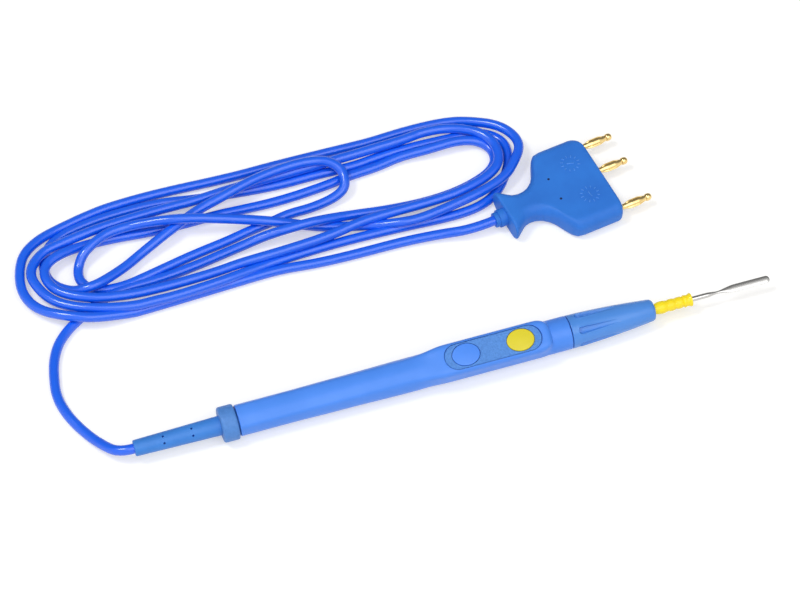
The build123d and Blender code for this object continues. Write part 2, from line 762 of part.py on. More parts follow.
# Pins with their lantern springs, and the wires from the cord's end to the cups of the pins
head_back = pin_length - pin_head_length
band_back = (spring_back + head_back - spring_band) / 2
pin_pieces = {}
for number, pin_side in enumerate(pin_sides):
    pin_line = plug_line_plane(pin_side)
    pin_axis = Axis(pin_line.origin, plug_along)
    with BuildPart() as pin:
        with BuildSketch(pin_line):
            with BuildLine():
                Polyline(
                    (cup_back, 0), (cup_back, pin_cup_diameter / 2), (-carrier_back, pin_cup_diameter / 2),
                    (-carrier_back, pin_rod_diameter / 2), (0, pin_rod_diameter / 2), (0, pin_base_diameter / 2),
                    (pin_base_length, pin_base_diameter / 2), (pin_base_length, pin_rod_diameter / 2),
                    (head_back, pin_rod_diameter / 2), (head_back, pin_head_diameter / 2),
                    (pin_length, pin_head_diameter / 2), (pin_length, 0), close=True,
                )
            make_face()
            fillet(vertices().group_by(Axis.X)[-1].sort_by(Axis.Y)[-1], pin_head_edge)
        revolve(axis=pin_axis)
    with BuildPart() as spring:
        with BuildSketch(pin_line):
            with BuildLine():
                end_radius = spring_end_diameter / 2
                band_radius = spring_diameter / 2
                for inset in (0, spring_wall):
                    Spline(
                        (spring_back, end_radius - inset), (band_back, band_radius - inset),
                        tangents=((1, 0), (1, 0)),
                    )
                    Line((band_back, band_radius - inset), (band_back + spring_band, band_radius - inset))
                    Spline(
                        (band_back + spring_band, band_radius - inset), (head_back, end_radius - inset),
                        tangents=((1, 0), (1, 0)),
                    )
                Line((spring_back, end_radius), (spring_back, end_radius - spring_wall))
                Line((head_back, end_radius), (head_back, end_radius - spring_wall))
            make_face()
        revolve(axis=pin_axis)
        for slot_number in range(spring_slots // 2):
            slot_plane = pin_line.rotated((slot_number * 360 / spring_slots, 0, 0))
            with BuildSketch(slot_plane):
                with Locations((band_back + spring_band / 2, 0)):
                    Rectangle(spring_slot_length, spring_diameter + overrun)
            extrude(amount=spring_slot_width / 2, both=True, mode=Mode.SUBTRACT)
    wire_turn = radians(30 - number * 360 / wire_count)
    with BuildPart() as wire:
        wire_side = wire_circle_diameter / 2 * cos(wire_turn)
        wire_height = pin_height + wire_circle_diameter / 2 * sin(wire_turn)
        wire_points = [
            plug_plane.from_local_coords(point)
            for point in (
                Vector(jacket_end, wire_side, wire_height), Vector(jacket_end + wire_lead, wire_side, wire_height),
                Vector(cup_back - wire_lead, pin_side, pin_height), Vector(cup_back, pin_side, pin_height),
            )
        ]
        with BuildLine():
            FilletPolyline(wire_points, radius=tube_radii(wire_points))
        with BuildSketch(Plane(origin=wire_points[0], z_dir=plug_along)):
            Circle(wire_diameter / 2)
        sweep()
    pin_pieces[f"pin_{number + 1}"] = pin
    pin_pieces[f"pin_spring_{number + 1}"] = spring
    wire_pieces[f"plug_wire_{number + 1}"] = wire

# Free ends of the cord: out of the strain relief into the hank, and out of the hank into the plug
floor_height = cord_radius
lead_route = [
    Vector(tail_x, 0, axis_height), Vector(tail_x - lead_straight, 0, axis_height), Vector(-133.5, 6.5, 3.6),
    Vector(-138, 14, floor_height), Vector(-142, 24, floor_height), Vector(-143.5, 35, floor_height),
    Vector(-141, 46.5, floor_height), Vector(-136, 55.5, floor_height), Vector(-129, 62, floor_height),
]
grommet_mouth = plug_plane.from_local_coords(Vector(grommet_back, 0, pin_height))
tail_route = [
    Vector(-50, 62, floor_height), Vector(-36, 60.4, floor_height), Vector(-20, 59.3, floor_height),
    Vector(-3, 58.6, floor_height), Vector(12, 56.4, 2.6),
    grommet_mouth - plug_along * tail_straight, grommet_mouth,
]
tube_pieces = {}
for name, route in (("cord_lead", lead_route), ("cord_tail", tail_route)):
    with BuildPart() as tube:
        with BuildLine() as path:
            FilletPolyline(route, radius=tube_radii(route))
        with BuildSketch(Plane(origin=route[0], z_dir=route[1] - route[0])):
            Circle(cord_radius)
        sweep()
    tube_pieces[name] = tube
    path_length = sum(edge.length for edge in path.edges())
    print(name, "length", path_length, "radii", [round(radius, 1) for radius in tube_radii(route)])
    print(name, "volume", tube.part.volume, "section times length", pi * cord_radius**2 * path_length)

# Hank: the cord's turns as one closed form, as seen from above, with the three gaps between them
hank_outside = (
    (32, 111), (15, 112), (-12, 110.5), (-39, 110.5), (-57, 109.5), (-85, 111), (-104, 110.5), (-124, 106.5),
    (-135, 102), (-142, 97), (-146, 89), (-147, 81), (-145, 73), (-140, 68), (-133, 63), (-123, 58.5),
    (-109, 57), (-95, 58), (-73, 59), (-55, 59), (-45, 61), (-33, 63.5), (-19, 63.5), (0, 63.5), (12, 62.5),
    (22, 63.5), (31, 65.5), (39, 70), (48, 78), (54.5, 86), (56, 93), (51, 101), (41, 108),
)
hank_gaps = (
    (
        (-11, 92), (-2, 93.8), (10, 94.5), (28, 95.5), (35, 92.5), (38.5, 88), (33, 80), (27, 78.5), (15, 77),
        (0, 78.5), (-11, 80), (-14, 86),
    ),
    ((-98, 78), (-88, 85), (-80, 90), (-62, 85.5), (-58, 84), (-66, 82.2), (-77, 80.2), (-87, 77.5)),
    ((-117, 80), (-119, 86), (-113, 91.5), (-104, 94.5), (-92, 91.5), (-100, 86), (-107, 82.5)),
)
with BuildPart() as cord_hank:
    with BuildSketch():
        with BuildLine():
            Spline(hank_outside, periodic=True)
        make_face()
        for gap in hank_gaps:
            with BuildLine():
                Spline(gap, periodic=True)
            make_face(mode=Mode.SUBTRACT)
    extrude(amount=hank_height)
    chamfer(faces().sort_by(Axis.Z)[-1].edges() + faces().sort_by(Axis.Z)[0].edges(), hank_edge)

pieces = {
    "handle_shell": handle_shell, "tail_collar": tail_collar, "strain_relief": strain_relief,
    "nose_cone": nose_cone, "electrode_socket": electrode_socket, "electrode_blade": electrode_blade,
    "electrode_sleeve": electrode_sleeve, "circuit_board": circuit_board, "contact_clip": contact_clip,
    "switch_panel": switch_panel, **switch_pieces, "cord_end_pencil": cord_end_pencil,
    "crimp_sleeve": crimp_sleeve, "plug_body": plug_body, "cord_grommet": cord_grommet,
    "cord_end_plug": cord_end_plug, "pin_carrier": pin_carrier, **pin_pieces, **wire_pieces, **tube_pieces,
    "cord_hank": cord_hank,
}
for name, piece in pieces.items():
    piece.part.label = name
    export_step(piece.part, f"parts/{name}.step")
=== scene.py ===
import bpy
import numpy as np
from mathutils import Matrix, Vector


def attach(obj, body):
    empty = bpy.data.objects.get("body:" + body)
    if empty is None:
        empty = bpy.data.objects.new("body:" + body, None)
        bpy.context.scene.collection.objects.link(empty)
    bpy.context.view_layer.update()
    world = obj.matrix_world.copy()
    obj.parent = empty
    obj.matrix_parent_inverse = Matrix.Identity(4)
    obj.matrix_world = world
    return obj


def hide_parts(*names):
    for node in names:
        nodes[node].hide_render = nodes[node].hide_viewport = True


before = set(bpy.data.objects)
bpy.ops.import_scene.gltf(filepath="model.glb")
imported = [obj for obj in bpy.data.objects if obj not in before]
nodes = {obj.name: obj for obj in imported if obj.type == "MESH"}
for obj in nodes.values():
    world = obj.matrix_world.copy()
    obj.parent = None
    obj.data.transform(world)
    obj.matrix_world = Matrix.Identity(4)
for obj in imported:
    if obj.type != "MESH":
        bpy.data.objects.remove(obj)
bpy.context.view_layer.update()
MM = 0.001

# View: the photograph looks down on the table at 56.3 degrees, turned 17.5 degrees from the
# table's own Y axis, from one metre away.
view_elevation = np.radians(56.3)
view_turn = np.radians(17.5137)
view_target = Vector((-0.010810, 0.036427, 0.0))
view_distance = 1.0
forward = Vector((
    np.sin(view_turn) * np.cos(view_elevation),
    np.cos(view_turn) * np.cos(view_elevation),
    -np.sin(view_elevation),
))
right = Vector((np.cos(view_turn), -np.sin(view_turn), 0.0))
camera_data = bpy.data.cameras.new("camera")
camera_data.sensor_width = 36.0
camera_data.lens = 120.447
camera = bpy.data.objects.new("camera", camera_data)
bpy.context.scene.collection.objects.link(camera)
turned = Matrix((right, right.cross(forward), -forward)).transposed()
camera.matrix_world = Matrix.Translation(view_target - forward * view_distance) @ turned.to_4x4()
bpy.context.scene.camera = camera
bpy.context.scene.view_settings.view_transform = "Standard"


def add_node(tree, kind, settings=None, values=None, links=None):
    """Adds one shader node: settings are its properties, values go to its sockets, and links
    join a socket to (node, output)."""
    node = tree.nodes.new(kind)
    for name, value in (settings or {}).items():
        setattr(node, name, value)
    for name, value in (values or {}).items():
        node.inputs[name].default_value = value
    for name, (source, output) in (links or {}).items():
        tree.links.new(source.outputs[output], node.inputs[name])
    return node


def linear(hex_colour):
    """Linear colour of an sRGB hex value: c/12.92 below 0.04045, else ((c + 0.055)/1.055)^2.4."""
    shares = [int(hex_colour[place:place + 2], 16) / 255 for place in (1, 3, 5)]
    return (*[c / 12.92 if c <= 0.04045 else ((c + 0.055) / 1.055) ** 2.4 for c in shares], 1.0)


def new_material(name):
    """An empty node material: returns it with its tree, its shader and its object coordinates."""
    material = bpy.data.materials.new(name)
    material.use_nodes = True
    tree = material.node_tree
    shader = tree.nodes["Principled BSDF"]
    place = add_node(tree, "ShaderNodeTexCoord")
    return material, tree, shader, place


# Table: a plain white sheet, a little brighter to the camera and in reflections, which keeps the
# shadows of the pencil and its cord.
table_half = 3.0
table_mesh = bpy.data.meshes.new("table")
table_mesh.from_pydata(
    [(-table_half, -table_half, 0), (table_half, -table_half, 0), (table_half, table_half, 0),
     (-table_half, table_half, 0)], [], [(0, 1, 2, 3)],
)
table_mesh.transform(Matrix.Translation((0, 0, -0.0001)))
table = bpy.data.objects.new("table", table_mesh)
bpy.context.scene.collection.objects.link(table)
paper, tree, shader, place = new_material("white_paper")
shader.inputs["Roughness"].default_value = 0.9
shader.inputs["Specular IOR Level"].default_value = 0.0
rays = add_node(tree, "ShaderNodeLightPath")
seen = add_node(tree, "ShaderNodeMath", {"operation": "MAXIMUM"}, links={0: (rays, "Is Camera Ray"), 1: (rays, "Is Glossy Ray")})
seen = add_node(tree, "ShaderNodeMath", {"operation": "MAXIMUM"}, links={0: (seen, 0), 1: (rays, "Is Transmission Ray")})
sheet = add_node(tree, "ShaderNodeMix", {"data_type": "RGBA"}, links={0: (seen, 0)})
sheet.inputs[6].default_value = linear("#E6E6E6")
sheet.inputs[7].default_value = linear("#DCDBD9")
tree.links.new(sheet.outputs[2], shader.inputs["Base Color"])
lift = add_node(tree, "ShaderNodeMath", {"operation": "MULTIPLY"}, {1: 0.4}, {0: (seen, 0)})
shader.inputs["Emission Color"].default_value = linear("#FFFFFF")
tree.links.new(lift.outputs[0], shader.inputs["Emission Strength"])
table_mesh.materials.append(paper)

# Light: a bright room that grows darker behind the table, a soft box on the left whose gloss runs
# along the cord, and a larger one in front on the right that lights the near sides.
world = bpy.data.worlds.new("room")
bpy.context.scene.world = world
world.use_nodes = True
room = world.node_tree
sky = room.nodes["Background"]
sky.inputs["Color"].default_value = linear("#FFFFFF")
direction = add_node(room, "ShaderNodeTexCoord")
behind = add_node(room, "ShaderNodeVectorMath", {"operation": "DOT_PRODUCT"}, links={0: (direction, "Generated")})
behind.inputs[1].default_value = (0.3, 0.954, 0.0)
soft = add_node(room, "ShaderNodeMapRange", {"interpolation_type": "SMOOTHSTEP"},
    {"From Min": -0.7, "From Max": 0.7, "To Min": 0.78, "To Max": 0.28}, {"Value": (behind, "Value")})
gloss = add_node(room, "ShaderNodeMapRange", {"interpolation_type": "SMOOTHSTEP"},
    {"From Min": -0.15, "From Max": 0.3, "To Min": 0.95, "To Max": 0.25}, {"Value": (behind, "Value")})
rays = add_node(room, "ShaderNodeLightPath")
level = add_node(room, "ShaderNodeMix", links={"Factor": (rays, "Is Glossy Ray"), "A": (soft, "Result"), "B": (gloss, "Result")})
room.links.new(level.outputs["Result"], sky.inputs["Strength"])
for name, spot, size, power in (
    ("box_left", (-0.6, 0.15, 1.3), 0.35, 6.0),
    ("box_front", (0.15, -0.75, 1.25), 1.2, 7.0),
):
    lamp = bpy.data.lights.new(name, "AREA")
    lamp.shape = "SQUARE"
    lamp.size = size
    lamp.energy = power
    lamp_object = bpy.data.objects.new(name, lamp)
    bpy.context.scene.collection.objects.link(lamp_object)
    lamp_object.matrix_world = (
        Matrix.Translation(spot)
        @ (view_target - Vector(spot)).to_track_quat("-Z", "Y").to_matrix().to_4x4()
    )

# Cord: one bright blue cable, 3.8 mm thick and about 2.1 m long. It leaves the strain relief,
# makes four loose turns laid long beside the pencil, and ends in the plug.
cord_radius = 1.9
layer_step = 3.5
lead_points = (
    (-122, 0, 6.6), (-127.6, 0, 6.6), (-132.5, 7, 3.4), (-137, 14.5, 1.9), (-141.3, 23.5, 1.9),
    (-143.3, 32.9, 1.9), (-141.8, 42.4, 1.9), (-140.3, 48.3, 1.9), (-137.4, 54.2, 1.9), (-133.4, 58.5, 1.9),
)
# Each lay of the hank: (x, y, layer), where layer 0 is on the table and 1 is on top of one cord
hank_lays = (
    ((-129.6, 61.4, 0), (-121.5, 66.4, 0), (-114.5, 69.8, 0), (-106.5, 71, 0), (-96.7, 71, 0),
     (-87.2, 72, 0), (-77.7, 73.4, 0), (-69.4, 75, 0), (-60.8, 76.3, 0.1), (-51.3, 76.8, 0.7),
     (-41.6, 76.1, 1.25), (-33.9, 76.3, 1.25), (-25.9, 76.9, 0.8), (-16.7, 77.3, 0.2), (-2.3, 75.8, 0),
     (13.8, 75, 0), (28.6, 76.8, 0), (41.5, 82, 0), (44.6, 90, 0), (40, 96.4, 0.3), (31, 97.6, 0.8)),
    ((20.6, 97.3, 0.6), (8.4, 98.5, 0.1), (-1.3, 96.6, 0), (-12.6, 95.9, 0), (-20.3, 94.3, 0),
     (-40.7, 92.3, 0), (-58.7, 92.9, 0), (-65.2, 93.3, 0), (-89.2, 92.9, 0), (-107.5, 94.5, 0.1),
     (-119.3, 93.9, 0.3), (-127.4, 91.3, 1), (-133.9, 88.1, 1), (-135.7, 82, 1), (-132.2, 74.3, 1)),
    ((-120.8, 67.9, 1), (-106.9, 65.6, 0.9), (-95.1, 65.2, 0.9), (-83.2, 65.4, 0.9), (-72.3, 66, 0.9),
     (-63.6, 67.1, 0.9), (-47.1, 67.6, 0.9), (-28.3, 68.7, 1), (-15.2, 71.6, 1), (-1.5, 72.1, 1),
     (8.4, 72.2, 1), (20.6, 72.8, 1), (28.4, 74.3, 1), (36.9, 77, 1), (43.3, 81.5, 1), (45.2, 88.4, 1),
     (43.7, 94.8, 1), (38.6, 100.2, 1), (29.4, 104.7, 0.8), (19.1, 105.4, 0.8)),
    ((12.9, 104, 0.9), (0.6, 103.3, 0.9), (-8.9, 102.8, 0.9), (-34.4, 101.8, 0.9), (-58.4, 101.4, 0.9),
     (-72, 100, 0.9), (-87, 100, 0.9), (-106, 99, 0.9), (-115, 98, 0.9), (-126, 96, 0.9),
     (-134.1, 94.1, 0.9), (-141, 86.5, 0.9), (-138, 75.9, 0.9), (-132.4, 69, 0.9)),
    ((-121.9, 63.6, 1), (-106.7, 60.2, 0.9), (-99, 60.3, 0.9), (-90.7, 60, 0.9), (-73.4, 61.2, 0.9),
     (-64.8, 63, 0.6), (-50.9, 65.6, 0.1), (-32.9, 66.9, 0), (-18.2, 67.1, 0), (-0.1, 66.7, 0),
     (9.3, 66.2, 0), (20, 65.8, 0), (30.8, 66.8, 0), (39.2, 71, 0), (45.8, 79.3, 0), (49.2, 86.6, 0),
     (49.4, 94.5, 0), (42.2, 100.8, 0)),
    ((30, 101.3, 0), (12.3, 101.8, 0), (-0.2, 101, 0), (-9.6, 99.6, 0), (-25.2, 100.2, 0), (-40.8, 99.6, 0),
     (-69.9, 102.4, 0), (-86.1, 105.5, 0), (-105, 105.2, 0), (-115.6, 103.8, 0), (-124.8, 101.7, 0),
     (-131.8, 97.3, 0), (-135.1, 89.5, 0), (-133.7, 80.9, 0), (-126.7, 74.4, 0.4)),
    ((-121.1, 72.9, 1.1), (-115.6, 73.9, 1.05), (-105.6, 79, 0.55), (-98.8, 83, 0.5), (-88.8, 87.4, 1),
     (-84, 89.6, 1.1), (-73.2, 95, 1.1), (-63.4, 96.5, 1.7), (-53.6, 99.4, 1.85), (-43.8, 101.8, 1.8),
     (-31.6, 103, 1.8), (-22.6, 102.1, 1.8), (-17.9, 99.2, 1.8), (-15, 95.2, 1.3), (-15.8, 89.2, 0.8),
     (-21, 86.8, 0.3), (-30.5, 85.6, 0), (-39.6, 85.6, 0)),
    ((-46.7, 84, 0), (-55.4, 82.6, 0), (-66.2, 80.2, 0), (-76.5, 78.6, 0), (-86.5, 76.6, 0),
     (-98.9, 73.8, 0), (-108.2, 72, 0), (-116.9, 72.9, 0), (-121, 75.6, 0), (-123.2, 80.2, 0),
     (-122.2, 85.4, 0.1), (-119.2, 88.9, 0.9), (-114.2, 91.9, 1.2), (-108.3, 94.8, 1.2)),
    ((-99.2, 95.4, 1.2), (-88.8, 92.7, 1.9), (-82.2, 90.9, 2.15), (-74.8, 89.3, 2.05), (-62.4, 86.6, 1.4),
     (-54.5, 84.3, 1.15), (-47.3, 81.7, 1), (-39.3, 80, 0.2), (-30.1, 76.2, 0), (-22.5, 73.8, 0),
     (-8.3, 69.5, 0.3), (-0.5, 66.7, 0.9), (6.5, 66, 1), (17.8, 67.8, 1), (32.5, 70.8, 1), (43.6, 74.9, 1),
     (49.7, 81.2, 1.1), (53.6, 86.6, 1.1), (53.5, 92.8, 1), (49, 99.8, 0.9), (40.6, 105, 0.6),
     (31.2, 108.8, 0.3)),
    ((15, 110, 0), (-0.7, 108.8, 0), (-12, 109, 0), (-38.7, 109.2, 0), (-56.5, 108.7, 0),
     (-84.8, 109.9, 0), (-103.9, 109.3, 0), (-113.3, 107.8, 0), (-124, 105.3, 0), (-133.7, 101.8, 0.3),
     (-140.7, 96.3, 0.5), (-143.8, 89.1, 0.5), (-145, 81, 0.5), (-143.4, 74.4, 0.5), (-139.7, 69, 0.7)),
    ((-133.6, 64.2, 1.05), (-123.1, 59.5, 1.05), (-109, 59.3, 0.2), (-104.5, 59.6, 0), (-73.3, 61, 0),
     (-65.4, 61.4, 0)),
)
tail_points = (
    (-50, 62, 1.9), (-36, 60.4, 1.9), (-20, 60, 1.9), (-3, 60.2, 1.9), (12, 58.8, 2.6),
    (24.01, 55.67, 4.9), (33.21, 57.07, 4.9),
)
route = list(lead_points)
for lay in hank_lays:
    route += [(x, y, cord_radius + layer_step * layer) for x, y, layer in lay]
route += tail_points
route = np.array(route) * MM
cord_data = bpy.data.curves.new("cord", "CURVE")
cord_data.dimensions = "3D"
cord_data.bevel_depth = cord_radius * MM
cord_data.bevel_resolution = 5
cord_data.use_fill_caps = True
cord_data.resolution_u = 6
spline = cord_data.splines.new("NURBS")
spline.points.add(len(route) - 1)
spline.points.foreach_set("co", np.hstack([route, np.ones((len(route), 1))]).ravel())
spline.order_u = 3
spline.use_endpoint_u = True
cord = bpy.data.objects.new("cord", cord_data)
bpy.context.scene.collection.objects.link(cord)
# Glossy extruded PVC: a bright blue that drifts slightly along the cord, with a soft broad sheen
jacket, tree, shader, place = new_material("extruded_pvc_cord")
drift = add_node(tree, "ShaderNodeTexNoise", values={"Scale": 1 / 0.006, "Detail": 2.0}, links={"Vector": (place, "Object")})
tint = add_node(tree, "ShaderNodeMix", {"data_type": "RGBA"}, links={0: (drift, "Fac")})
tint.inputs[6].default_value = linear("#0A5EEB")
tint.inputs[7].default_value = linear("#0B65F1")
tree.links.new(tint.outputs[2], shader.inputs["Base Color"])
rub = add_node(tree, "ShaderNodeMapRange", values={"To Min": 0.16, "To Max": 0.24}, links={"Value": (drift, "Fac")})
tree.links.new(rub.outputs["Result"], shader.inputs["Roughness"])
shader.inputs["Specular IOR Level"].default_value = 0.75
cord_data.materials.append(jacket)
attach(cord, "handle_body")
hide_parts("cord_lead", "cord_hank", "cord_tail")


def dress(names, material):
    """Gives CAD nodes a material."""
    for name in names:
        nodes[name].data.materials.clear()
        nodes[name].data.materials.append(material)


def moulded(name, colour, roughness, grain, depth, darker, mottle):
    """Moulded plastic: a fine grain, given by its size and depth in metres, over a colour that
    drifts a little towards a darker one in patches of the mottle size."""
    material, tree, shader, place = new_material(name)
    patches = add_node(tree, "ShaderNodeTexNoise", values={"Scale": 1 / mottle, "Detail": 3.0}, links={"Vector": (place, "Object")})
    ramp = add_node(tree, "ShaderNodeMapRange", values={"From Min": 0.35, "From Max": 0.75, "To Min": 0.0, "To Max": 1.0}, links={"Value": (patches, "Fac")})
    tint = add_node(tree, "ShaderNodeMix", {"data_type": "RGBA"}, links={"Factor": (ramp, "Result")})
    tint.inputs[6].default_value = linear(colour)
    tint.inputs[7].default_value = linear(darker)
    tree.links.new(tint.outputs[2], shader.inputs["Base Color"])
    rub = add_node(tree, "ShaderNodeMapRange", values={"To Min": roughness - 0.05, "To Max": roughness + 0.07}, links={"Value": (patches, "Fac")})
    tree.links.new(rub.outputs["Result"], shader.inputs["Roughness"])
    shader.inputs["Specular IOR Level"].default_value = 0.4
    grains = add_node(tree, "ShaderNodeTexNoise", values={"Scale": 1 / grain, "Detail": 2.0}, links={"Vector": (place, "Object")})
    bump = add_node(tree, "ShaderNodeBump", values={"Strength": 1.0, "Distance": depth}, links={"Height": (grains, "Fac")})
    tree.links.new(bump.outputs["Normal"], shader.inputs["Normal"])
    return material


# Handle shell: a long tube moulded in satin blue ABS, with a raised saddle that carries the
# buttons and flows out of the tube. The stadium-shaped pocket in its top takes the switch panel.
axis_height = 6.6
button_turn = np.radians(16.5)
handle_back = -83.7
seam = 42.6
shoulder = 34.9
saddle_flat_back = -6.0
saddle_height = 7.47
saddle_half_width = 6.35
pocket_depth = 1.27
panel_middle = 12.6
panel_length = 37.0
panel_width = 9.6
panel_gap = 0.16


def pencil(x, side, height):
    """Points of the pencil from their place along it, across the buttons and up through them,
    with the whole pencil turned about its own length."""
    x, side, height = np.broadcast_arrays(x, side, height)
    return np.stack([
        x,
        side * np.cos(button_turn) - height * np.sin(button_turn),
        axis_height + side * np.sin(button_turn) + height * np.cos(button_turn),
    ], axis=-1)


def eased(value, low, high):
    """Rise from 0 at low to 1 at high, level at both ends: 3 t squared less 2 t cubed."""
    t = np.clip((value - low) / (high - low), 0, 1)
    return t * t * (3 - 2 * t)


def stations(x, places, values):
    """Curve through the stations that is level at each: an eased step from one to the next."""
    result = np.full_like(x, values[0])
    for low, high, before, after in zip(places, places[1:], values, values[1:]):
        result += (after - before) * eased(x, low, high)
    return result


def merge(a, b, reach):
    """The larger of two radii, rounded off where they lie within reach of each other."""
    near = np.clip(reach - np.abs(a - b), 0, None) / reach
    return np.maximum(a, b) + near * near * reach / 4


def skin(name, grids, body, loop=False, closed=True):
    """Piece from one or more grids of points in millimetres, [row, column]: four neighbours make a
    face, columns close round, rows close when loop is set, and open ends get a fan to their middle."""
    corners, faces = [], []
    for points in np.atleast_1d(grids).reshape(-1, *grids.shape[-3:]):
        rows, columns = points.shape[:2]
        first = sum(len(part) for part in corners)
        index = first + np.arange(rows * columns).reshape(rows, columns)
        corners.append(points.reshape(-1, 3))
        wrapped = np.hstack([index, index[:, :1]])
        if loop:
            wrapped = np.vstack([wrapped, wrapped[:1]])
        quads = np.stack([wrapped[:-1, :-1], wrapped[1:, :-1], wrapped[1:, 1:], wrapped[:-1, 1:]], axis=-1)
        faces += quads.reshape(-1, 4).tolist()
        if closed and not loop:
            corners.append(np.array([points[0].mean(axis=0), points[-1].mean(axis=0)]))
            start, end = first + rows * columns, first + rows * columns + 1
            ring, following = np.arange(columns), np.roll(np.arange(columns), -1)
            faces += np.stack([np.full(columns, start), index[0, ring], index[0, following]], axis=-1).tolist()
            faces += np.stack([np.full(columns, end), index[-1, following], index[-1, ring]], axis=-1).tolist()
    mesh = bpy.data.meshes.new(name)
    mesh.from_pydata((np.vstack(corners) * MM).tolist(), [], faces)
    mesh.polygons.foreach_set("use_smooth", np.ones(len(faces), dtype=bool))
    mesh.set_sharp_from_angle(angle=np.radians(50))
    piece = bpy.data.objects.new(name, mesh)
    bpy.context.scene.collection.objects.link(piece)
    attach(piece, body)
    return piece


def handle_radius(x, turn):
    """Radius of the handle at x, turn radians round from the top: the turned tube merged with the
    saddle, whose section is a squarish oval, |s/w|^6 + |h/t|^6 = 1, shallow below the axis."""
    tube = stations(
        x, (-83.7, -64.6, -46.9, -18.0, -6.0, 28.0, 34.5, seam),
        (5.75, 5.75, 5.95, 6.3, 5.85, 5.85, 6.3, 6.3),
    )
    rise = eased(x, -21.0, saddle_flat_back + 1.5)
    front = np.clip((x - (shoulder - 6.4)) / 6.4, 0, 1)
    rounded = np.sqrt(np.clip(1 - front**2.6, 0.0004, 1))
    half_width = (4.6 + (saddle_half_width - 4.6) * rise) * (0.35 + 0.65 * rounded)
    top = (5.2 + (saddle_height - 5.2) * rise) * np.where(x > shoulder, 0.5, 0.5 + 0.5 * np.clip(1 - front**9, 0, 1) ** 0.5)
    side, height = np.sin(turn), np.cos(turn)
    depth = np.where(height > 0, top, 0.9)
    saddle = ((np.abs(side) / half_width) ** 6 + (np.abs(height) / depth) ** 6) ** (-1 / 6)
    return merge(tube, saddle, 1.7)


edge = np.radians(np.arange(0, 91, 15))
back_round = 0.45
front_round = 0.3
x_rows = np.concatenate([
    handle_back + back_round * (1 - np.cos(edge)),
    np.linspace(handle_back + 1.2, -24, 90),
    np.linspace(-23.6, 24, 160),
    np.linspace(24.15, 39, 110),
    np.linspace(39.3, seam - front_round - 0.35, 16),
    seam - 0.16 - front_round * (1 - np.sin(edge)),
])
inset = np.concatenate([
    back_round * (1 - np.sin(edge)), np.zeros(90 + 160 + 110 + 16), front_round * (1 - np.cos(edge)),
])
turns = np.linspace(0, 2 * np.pi, 160, endpoint=False)
x_grid, turn_grid = np.meshgrid(x_rows, turns, indexing="ij")
radius = handle_radius(x_grid, turn_grid) - inset[:, None]
handle = skin("handle", pencil(x_grid, radius * np.sin(turn_grid), radius * np.cos(turn_grid)), "handle_body")

# The pocket: a stadium-shaped prism is taken out of the saddle
stadium_turn = np.linspace(0, 2 * np.pi, 96, endpoint=False)
pocket_radius = panel_width / 2 + panel_gap
pocket_run = panel_length / 2 - panel_width / 2
stadium = np.stack([
    panel_middle + pocket_run * np.sign(np.cos(stadium_turn)) + pocket_radius * np.cos(stadium_turn),
    pocket_radius * np.sin(stadium_turn),
], axis=-1)
floor_height = saddle_height - pocket_depth
cutter = skin("pocket_cutter", np.stack([
    pencil(stadium[:, 0], -stadium[:, 1], np.full(96, floor_height)),
    pencil(stadium[:, 0], -stadium[:, 1], np.full(96, saddle_height + 2)),
]), "handle_body")
cut = handle.modifiers.new("pocket", "BOOLEAN")
cut.operation = "DIFFERENCE"
cut.object = cutter
cut.solver = "EXACT"
cut_mesh = bpy.data.meshes.new_from_object(handle.evaluated_get(bpy.context.evaluated_depsgraph_get()))
handle.modifiers.clear()
handle.data = cut_mesh
cut_mesh.name = "handle"
cut_mesh.set_sharp_from_angle(angle=np.radians(40))
bpy.data.objects.remove(cutter)
handle_plastic = moulded("moulded_satin_abs", "#4C8CF0", 0.36, 0.0005, 0.000012, "#4687EA", 0.012)
handle.data.materials.clear()
handle.data.materials.append(handle_plastic)
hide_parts("handle_shell")

# Nose cone: the same blue ABS, pushed into the front of the handle, with six tapering flutes for
# the fingertips and a round mouth for the electrode's sleeve.
nose_front = 75.9
nose_length = nose_front - seam
flute_starts = seam + 2.7
flute_fades = seam + 19.0


def nose_radius(x, turn):
    """Radius of the nose: a convex taper, less six flutes with steep walls that are round at the
    back, and grow narrower and shallower towards the front."""
    share = np.clip((x - seam) / nose_length, 0, 1)
    taper = 6.3 - 0.45 * share - 1.85 * share**1.9
    fade = np.clip((x - flute_starts) / (flute_fades - flute_starts), 0, 1)
    half_width = 1.4 - 0.8 * fade
    back = np.clip((flute_starts + 1.3 - x) / 1.3, 0, 1)
    half_width = half_width * np.sqrt(np.clip(1 - back**2, 0, 1))
    step = np.pi / 3
    offset = (turn + np.radians(20.5) + step / 2) % step - step / 2
    across = np.abs(offset) * taper
    wall = 1 - eased(across, half_width - 0.22, half_width + 0.1)
    lip = np.exp(-(((across - half_width - 0.25) / 0.22) ** 2)) * np.where(x > flute_starts - 0.6, 1, 0)
    inside = np.where(x > flute_starts - 0.1, 1, 0)
    return taper - (1.4 * wall * (1 - fade**1.5) * inside) + 0.12 * lip * (1 - fade) * inside


